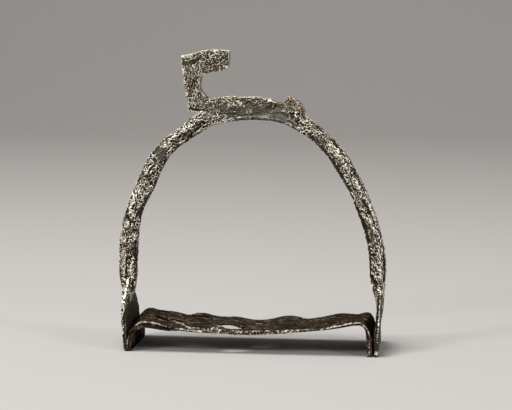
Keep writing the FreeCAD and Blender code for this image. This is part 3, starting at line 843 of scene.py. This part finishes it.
def tread_relief(seed):
    """The wear of the tread: split layers, strokes on its top and rim, and a lumpy stretch of the rim."""
    def relief(points, normals, wide):
        x, y = points[:, 0], points[:, 1]
        top = facing(normals, TOP)
        tab = smooth_step(*TAB_FACING, np.abs(wide[:, 0]))
        lip, _ = tear_shares(points)
        layer = ledges(points, TREAD_LAYER, seed)
        streaks = field(points, TREAD_STREAK, seed + 1, octaves=3)
        grains = field(points, TREAD_GRAIN, seed + 2, octaves=2)
        lumps = field(points, RIM_LUMP, seed + 3, octaves=2)
        rim = 1.0 - smooth_step(RIM + RIM_START, RIM + RIM_END, y + RIM_WANDER * streaks)
        from_middle = np.abs(x - RIM_MIDDLE) * np.where(x < RIM_MIDDLE, RIM_LEFT_STRETCH, 1.0)
        lumpy = 1.0 - smooth_step(*RIM_LUMPY, from_middle)
        level = 1.0 - smooth_step(*LEVEL_ZONE, np.abs(x))
        drawn, shine, calm = strokes(points, X_Y, top * (1.0 - rim), TREAD_LINES)
        rim_drawn, rim_shine, rim_calm = strokes(points, X_Z, rim, RIM_LINES)

        depth = top * (TREAD_LAYER_DEPTH * (1.0 - layer) - TREAD_STREAK_HEIGHT * streaks)
        depth -= TREAD_GRAIN_HEIGHT * grains
        depth += rim * level * (RIM_DEPTH - RIM_LUMP_HEIGHT * lumps * lumpy)
        depth = depth * (1.0 - LIP_SPARED * lip) + drawn + rim_drawn
        near_front = 1.0 - smooth_step(LEAN_FRONT, LEAN_BACK, y)
        inwards = smooth_step(*TAB_INNER_FACING, -normals[:, 0] * np.sign(x))
        depth += TAB_LOSS * near_front * inwards * (points[:, 2] < TAB_TOP) * (x < -TAB_ZONE)

        shine += rim_shine + TREAD_STREAK_SHINE * streaks + TREAD_GRAIN_SHINE * grains - TREAD_SHADE
        rim_lumps = RIM_LUMP_SHINE * lumps * (1.0 - RIM_LUMPY_SHARE + RIM_LUMPY_SHARE * lumpy)
        shine += rim * (rim_lumps - RIM_SHADE) - TAB_SHADE * tab * (1.0 - rim)
        # Painted shade on the faces that look down
        shine -= UNDERSIDE_PAINTED_SHADE * facing(normals, UNDERSIDE, *UNDERSIDE_FACING)
        wear = TREAD_WEAR - RIM_END_SPARED * rim * (1.0 - lumpy)
        marks = {
            "bright": shine,
            "patch": rim * (RIM_END_COLOUR + (1.0 - RIM_END_COLOUR) * lumpy),
            "rust": patches(points, X_Y, TREAD_RUST),
            "calm": np.maximum(calm, rim_calm),
            **slants(points),
        }
        return depth, wear, marks
    return relief


# The rivets' grain: its size, its depth and its brightness
RIVET_GRAIN = (1.2, 1.2, 1.2)
RIVET_DEPTH = 0.06
RIVET_SHINE = 0.2


def rivet_relief(seed):
    """The wear of a rivet's head: a fine grain."""
    def relief(points, normals, wide):
        grains = field(points, RIVET_GRAIN, seed, octaves=3)
        none = np.zeros(len(points))
        marks = {"bright": RIVET_SHINE * grains, "patch": none, "rust": none, "calm": none, **slants(points)}
        return RIVET_DEPTH * (1.0 + grains), 1.0 + none, marks
    return relief


# Materials

def new_material(name):
    """A material with its node tree and its shader."""
    material = bpy.data.materials.new(name)
    material.use_nodes = True
    tree = material.node_tree
    return material, tree, tree.nodes["Principled BSDF"]


def add(tree, kind, **settings):
    """A new node with the given settings."""
    node = tree.nodes.new(kind)
    for name, value in settings.items():
        setattr(node, name, value)
    return node


def noise_node(tree, scale, detail):
    """Noise over the object's own place, with lumps of the size scale gives in millimetres."""
    place = add(tree, "ShaderNodeTexCoord")
    texture = add(tree, "ShaderNodeTexNoise")
    texture.inputs["Scale"].default_value = 1.0 / (scale * MM)
    texture.inputs["Detail"].default_value = detail
    tree.links.new(place.outputs["Object"], texture.inputs["Vector"])
    return texture.outputs["Fac"]


def mark_node(tree, name, output="Fac"):
    """A mark that was kept for each point of the mesh."""
    return add(tree, "ShaderNodeAttribute", attribute_name=name).outputs[output]


def calculate(tree, operation, *values, clamp=False):
    """A math node; each value is a number or another node's output."""
    node = add(tree, "ShaderNodeMath", operation=operation, use_clamp=clamp)
    for socket, value in zip(node.inputs, values):
        if isinstance(value, float):
            socket.default_value = value
        else:
            tree.links.new(value, socket)
    return node.outputs[0]


def scaled_sum(tree, terms, offset):
    """offset plus each value times its share, held between 0 and 1."""
    total = offset
    for value, share in terms:
        total = calculate(tree, "MULTIPLY_ADD", value, share, total)
    return calculate(tree, "ADD", total, 0.0, clamp=True)


# Fine crests: how long, wide and deep they are in millimetres, how narrow, and how finely they waver
THREAD_SIZE = (5.0, 1.5, 2.2)
THREAD_SHARPNESS = 14.5
THREAD_DETAIL = 1.5


def threads(tree, mark):
    """Fine crests along a slant: 1 on a crest, 0 between."""
    place = add(tree, "ShaderNodeMapping")
    place.inputs["Scale"].default_value = [1.0 / length for length in THREAD_SIZE]
    tree.links.new(mark_node(tree, mark, "Vector"), place.inputs["Vector"])
    texture = add(tree, "ShaderNodeTexNoise")
    texture.inputs["Scale"].default_value = 1.0
    texture.inputs["Detail"].default_value = THREAD_DETAIL
    tree.links.new(place.outputs["Vector"], texture.inputs["Vector"])
    off_crest = calculate(tree, "ABSOLUTE", calculate(tree, "SUBTRACT", texture.outputs["Fac"], 0.5))
    return calculate(tree, "MULTIPLY_ADD", off_crest, -THREAD_SHARPNESS, 1.0, clamp=True)


def ramp(tree, value, stops):
    """The colour for a value, from places between 0 and 1 and their colours."""
    node = add(tree, "ShaderNodeValToRGB")
    elements = node.color_ramp.elements
    while len(elements) < len(stops):
        elements.new(0.5)
    for element, (place, colour) in zip(elements, stops):
        element.position = place
        element.color = (*colour, 1.0)
    tree.links.new(value, node.inputs["Fac"])
    return node.outputs["Color"]


def mix(tree, share, first, second):
    """The first colour where share is 0 and the second where it is 1."""
    node = add(tree, "ShaderNodeMix", data_type="RGBA")
    sockets = {socket.identifier: socket for socket in [*node.inputs, *node.outputs]}
    tree.links.new(share, sockets["Factor_Float"])
    tree.links.new(first, sockets["A_Color"])
    tree.links.new(second, sockets["B_Color"])
    return sockets["Result_Color"]


# The materials' own noise: the size of its lumps in millimetres, how finely they waver, and how much
# they add to the tone
FINE_NOISE = (0.45, 3.0)
FINE_SHARE = 0.25
COARSE_NOISE = (4.0, 3.0)
COARSE_SHARE = 0.45
# What brings the tone back to its middle: for the noise, and for each whole share of threads
NOISE_MEAN = 0.35
THREAD_MEAN = 0.26
# Where threads have worn off: the noise, its strength and its offset
WORN_OFF_NOISE = (2.2, 2.0)
WORN_OFF_STRENGTH = 4.0
WORN_OFF_OFFSET = -1.5
# The tones at which bare metal begins and at which it is whole
METAL_START = 0.45
METAL_WHOLE = 0.75
# The bump: its depth in millimetres, and the shares of threads and fine noise in it
BUMP_DEPTH = 0.3
BUMP_THREADS = 0.6
BUMP_FINE = 0.4


def crossing_threads(tree):
    """Fine crests along both slants, worn off here and there and absent where the surface is calm."""
    crossing = calculate(tree, "MAXIMUM", threads(tree, "slant_up"), threads(tree, "slant_down"))
    wear = noise_node(tree, *WORN_OFF_NOISE)
    worn_off = calculate(tree, "MULTIPLY_ADD", wear, WORN_OFF_STRENGTH, WORN_OFF_OFFSET, clamp=True)
    rough_ground = calculate(tree, "SUBTRACT", 1.0, mark_node(tree, "calm"), clamp=True)
    return calculate(tree, "MULTIPLY", crossing, calculate(tree, "MULTIPLY", worn_off, rough_ground))


def follow(tree, tone, socket, low, high, start=0.0, whole=1.0):
    """Lets a socket go from low to high as the tone goes from start to whole."""
    node = add(tree, "ShaderNodeMapRange")
    tree.links.new(tone, node.inputs["Value"])
    node.inputs["From Min"].default_value = start
    node.inputs["From Max"].default_value = whole
    node.inputs["To Min"].default_value = low
    node.inputs["To Max"].default_value = high
    tree.links.new(node.outputs["Result"], socket)


def iron(name, ground_stops, patch_stops, rust_stops, thread_share, rough, metallic, specular, bump):
    """Corroded iron, whose colour, roughness and metal follow one tone, from deep pits to worn crests."""
    material, tree, shader = new_material(name)
    fine = noise_node(tree, *FINE_NOISE)
    coarse = noise_node(tree, *COARSE_NOISE)
    crossing = crossing_threads(tree)
    tone = scaled_sum(tree, [
        (mark_node(tree, "bright"), 1.0),
        (crossing, thread_share),
        (fine, FINE_SHARE),
        (coarse, COARSE_SHARE),
    ], -THREAD_MEAN * thread_share - NOISE_MEAN)
    ground = ramp(tree, tone, ground_stops)
    covered = mix(tree, mark_node(tree, "patch"), ground, ramp(tree, tone, patch_stops))
    rusted = mix(tree, mark_node(tree, "rust"), covered, ramp(tree, tone, rust_stops))
    tree.links.new(rusted, shader.inputs["Base Color"])
    shader.inputs["Specular IOR Level"].default_value = specular
    follow(tree, tone, shader.inputs["Roughness"], *rough)
    follow(tree, tone, shader.inputs["Metallic"], 0.0, metallic, METAL_START, METAL_WHOLE)
    height = scaled_sum(tree, [(crossing, BUMP_THREADS), (fine, BUMP_FINE)], 0.0)
    relief = add(tree, "ShaderNodeBump")
    relief.inputs["Strength"].default_value = bump
    relief.inputs["Distance"].default_value = BUMP_DEPTH * MM
    tree.links.new(height, relief.inputs["Height"])
    tree.links.new(relief.outputs["Normal"], shader.inputs["Normal"])
    return material


# Colours by tone, from the darkest pits to the brightest crests, whose near-white colours are partly bare
# metal and partly painted glints

ARM_STOPS = [
    (0.05, (0.029, 0.023, 0.014)),
    (0.30, (0.062, 0.049, 0.030)),
    (0.52, (0.095, 0.076, 0.049)),
    (0.61, (0.420, 0.360, 0.258)),
    (0.67, (1.000, 0.945, 0.830)),
]
LOOP_STOPS = [
    (0.05, (0.030, 0.024, 0.014)),
    (0.27, (0.076, 0.065, 0.041)),
    (0.47, (0.142, 0.126, 0.085)),
    (0.64, (0.400, 0.357, 0.268)),
    (0.77, (0.980, 0.900, 0.750)),
]
GREEN_STOPS = [
    (0.05, (0.030, 0.027, 0.018)),
    (0.38, (0.118, 0.121, 0.096)),
    (0.62, (0.225, 0.222, 0.178)),
    (0.85, (0.620, 0.590, 0.500)),
]
RUST_STOPS = [
    (0.05, (0.026, 0.017, 0.010)),
    (0.36, (0.120, 0.086, 0.052)),
    (0.60, (0.290, 0.220, 0.140)),
    (0.82, (0.700, 0.620, 0.500)),
]
TREAD_STOPS = [
    (0.10, (0.007, 0.004, 0.002)),
    (0.34, (0.024, 0.016, 0.009)),
    (0.52, (0.060, 0.042, 0.026)),
    (0.74, (0.260, 0.215, 0.160)),
    (0.92, (0.800, 0.740, 0.630)),
]
RIM_STOPS = [
    (0.05, (0.010, 0.007, 0.004)),
    (0.32, (0.036, 0.026, 0.016)),
    (0.52, (0.120, 0.096, 0.067)),
    (0.72, (0.420, 0.370, 0.290)),
    (0.88, (0.880, 0.820, 0.700)),
]
DARK_RUST_STOPS = [
    (0.05, (0.009, 0.005, 0.003)),
    (0.34, (0.034, 0.020, 0.014)),
    (0.52, (0.080, 0.050, 0.036)),
    (0.74, (0.300, 0.250, 0.195)),
    (0.92, (0.700, 0.640, 0.550)),
]

# Each material slot's colours and settings. The two roughnesses are those of pits and of crests.
IRON_SETTINGS = {
    "arm_iron": dict(
        ground_stops=ARM_STOPS, patch_stops=GREEN_STOPS, rust_stops=DARK_RUST_STOPS,
        thread_share=0.74, rough=(0.85, 0.36), metallic=0.85, specular=0.12, bump=0.8,
    ),
    "loop_iron": dict(
        ground_stops=LOOP_STOPS, patch_stops=GREEN_STOPS, rust_stops=RUST_STOPS,
        thread_share=0.37, rough=(0.85, 0.46), metallic=0.45, specular=0.12, bump=0.6,
    ),
    "tread_iron": dict(
        ground_stops=TREAD_STOPS, patch_stops=RIM_STOPS, rust_stops=DARK_RUST_STOPS,
        thread_share=0.15, rough=(0.85, 0.50), metallic=0.24, specular=0.04, bump=0.5,
    ),
    "rivet_iron": dict(
        ground_stops=TREAD_STOPS, patch_stops=RIM_STOPS, rust_stops=DARK_RUST_STOPS,
        thread_share=0.15, rough=(0.85, 0.55), metallic=0.16, specular=0.10, bump=0.5,
    ),
}
IRONS = {slot: iron(slot, **settings) for slot, settings in IRON_SETTINGS.items()}


# Pieces

# The last setting of each bar is the painted shade on the sides that face the opening
left_relief = bar_relief(1, LEFT_ARM_LINES, ARM_PATCHES, pit_depth=0.75, under_painted_shade=0.32)
right_relief = bar_relief(11, RIGHT_ARM_LINES, ARM_PATCHES, pit_depth=0.75, under_painted_shade=0.12)
crown_relief = bar_relief(21, BRIDGE_LINES, CROWN_PATCHES, pit_depth=0.50, under_painted_shade=0.32)

# Node, voxel in mm, contact faces, shape, relief, rounds of averaging that level its pits, material slot
PIECES = [
    ("left_arm", 0.25, sink_scarf(LEFT_SCARF), bend_arm(LEFT_PLATE_LEAN), left_relief, 10, "arm_iron"),
    ("right_arm", 0.25, sink_scarf(RIGHT_SCARF), bend_arm(RIGHT_PLATE_LEAN), right_relief, 10, "arm_iron"),
    ("bridge", 0.26, keep, taper_crown, crown_relief, 10, "arm_iron"),
    ("loop_frame", 0.26, sink_foot, as_forged, loop_relief(31), 10, "loop_iron"),
    ("tread", 0.34, keep, bend_tread, tread_relief(41), 4, "tread_iron"),
]
RIVETS = ("left_front_rivet", "left_rear_rivet", "right_front_rivet", "right_rear_rivet")
FIRST_RIVET_SEED = 51
for seed, rivet in enumerate(RIVETS, FIRST_RIVET_SEED):
    PIECES.append((rivet, 0.20, keep, as_forged, rivet_relief(seed), 4, "rivet_iron"))

for node, voxel, sink, shape, relief, pit_rounds, slot in PIECES:
    piece = dense_copy(node, "worn_" + node, voxel, sink)
    corrode(piece, shape, relief, pit_rounds)
    piece.data.materials.append(IRONS[slot])
    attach(piece, "root")
    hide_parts(node)
    print("%-24s %d faces" % (piece.name, len(piece.data.polygons)))


# The floor: a pale sheet that sweeps up behind the stirrup

FLOOR_COLOUR = (0.62, 0.60, 0.575)
FLOOR_ROUGHNESS = 0.9
FLOOR_FRONT = -2.0
FLOOR_BACK = 1.1
FLOOR_HALF_WIDTH = 2.5
SWEEP_RADIUS = 0.8
WALL_HEIGHT = 2.5
SWEEP_STEPS = 24


def make_floor():
    """A level sheet, then a quarter turn up into a wall."""
    profile = [(FLOOR_FRONT, 0.0), (FLOOR_BACK, 0.0)]
    for step in range(1, SWEEP_STEPS + 1):
        angle = math.pi / 2 * step / SWEEP_STEPS
        profile.append((
            FLOOR_BACK + SWEEP_RADIUS * math.sin(angle),
            SWEEP_RADIUS * (1.0 - math.cos(angle)),
        ))
    profile.append((FLOOR_BACK + SWEEP_RADIUS, WALL_HEIGHT))
    vertices = [(side * FLOOR_HALF_WIDTH, y, z) for y, z in profile for side in (-1, 1)]
    faces = [(2 * i, 2 * i + 1, 2 * i + 3, 2 * i + 2) for i in range(len(profile) - 1)]
    mesh = bpy.data.meshes.new("studio_floor")
    mesh.from_pydata(vertices, [], faces)
    mesh.shade_smooth()
    material, _, shader = new_material("floor_paper")
    shader.inputs["Base Color"].default_value = (*FLOOR_COLOUR, 1.0)
    shader.inputs["Roughness"].default_value = FLOOR_ROUGHNESS
    mesh.materials.append(material)
    floor = bpy.data.objects.new("studio_floor", mesh)
    bpy.context.scene.collection.objects.link(floor)


make_floor()


# Light

STIRRUP_MIDDLE = Vector((0.0, 0.0, 0.07))
# Each light's name, place, size in metres and power in watts
LIGHTS = [
    ("top_light", (-0.20, -0.15, 1.30), 0.6, 12.0),
    ("left_light", (-0.95, -0.90, 0.80), 0.4, 6.0),
    ("right_light", (1.10, -0.70, 0.70), 0.4, 4.0),
]
# The surrounding light: its colour, and its strength where it lights things and where it is seen
WORLD_COLOUR = (1.0, 0.985, 0.96, 1.0)
WORLD_LIGHT = 0.17
WORLD_SEEN = 0.75


def area_light(name, place, size, power):
    """A round light that faces the stirrup."""
    lamp = bpy.data.lights.new(name, "AREA")
    lamp.shape = "DISK"
    lamp.size = size
    lamp.energy = power
    light = bpy.data.objects.new(name, lamp)
    light.location = place
    light.rotation_euler = (STIRRUP_MIDDLE - Vector(place)).to_track_quat("-Z", "Y").to_euler()
    bpy.context.scene.collection.objects.link(light)


def make_world():
    """A soft surrounding light, brighter where the camera or a glossy surface sees it."""
    world = bpy.data.worlds.new("studio")
    world.use_nodes = True
    tree = world.node_tree
    background = tree.nodes["Background"]
    background.inputs["Color"].default_value = WORLD_COLOUR
    rays = add(tree, "ShaderNodeLightPath")
    seen = calculate(tree, "MAXIMUM", rays.outputs["Is Camera Ray"], rays.outputs["Is Glossy Ray"])
    strength = calculate(tree, "MULTIPLY_ADD", seen, WORLD_SEEN - WORLD_LIGHT, WORLD_LIGHT)
    tree.links.new(strength, background.inputs["Strength"])
    bpy.context.scene.world = world


for light in LIGHTS:
    area_light(*light)
make_world()
bpy.context.scene.view_settings.view_transform = "Standard"


# The camera, at the photograph's viewing angle: the place it looks at, the angles it looks from, and its
# focal length as a number of pixels in an image this wide

AIM = Vector((0.0019, 0.0, 0.07017))
AZIMUTH = math.radians(7.0)
ELEVATION = math.radians(7.45)
DISTANCE = 0.92
SENSOR_WIDTH = 36.0
IMAGE_WIDTH = 512
FOCAL_LENGTH_PIXELS = 1886.0


def make_camera():
    """A camera as far from the stirrup as the photograph's."""
    camera = bpy.data.cameras.new("camera")
    camera.sensor_width = SENSOR_WIDTH
    camera.lens = SENSOR_WIDTH * FOCAL_LENGTH_PIXELS / IMAGE_WIDTH
    back = Vector((
        math.sin(AZIMUTH) * math.cos(ELEVATION),
        -math.cos(AZIMUTH) * math.cos(ELEVATION),
        math.sin(ELEVATION),
    ))
    holder = bpy.data.objects.new("camera", camera)
    holder.location = AIM + DISTANCE * back
    holder.rotation_euler = (-back).to_track_quat("-Z", "Y").to_euler()
    bpy.context.scene.collection.objects.link(holder)
    bpy.context.scene.camera = holder


make_camera()
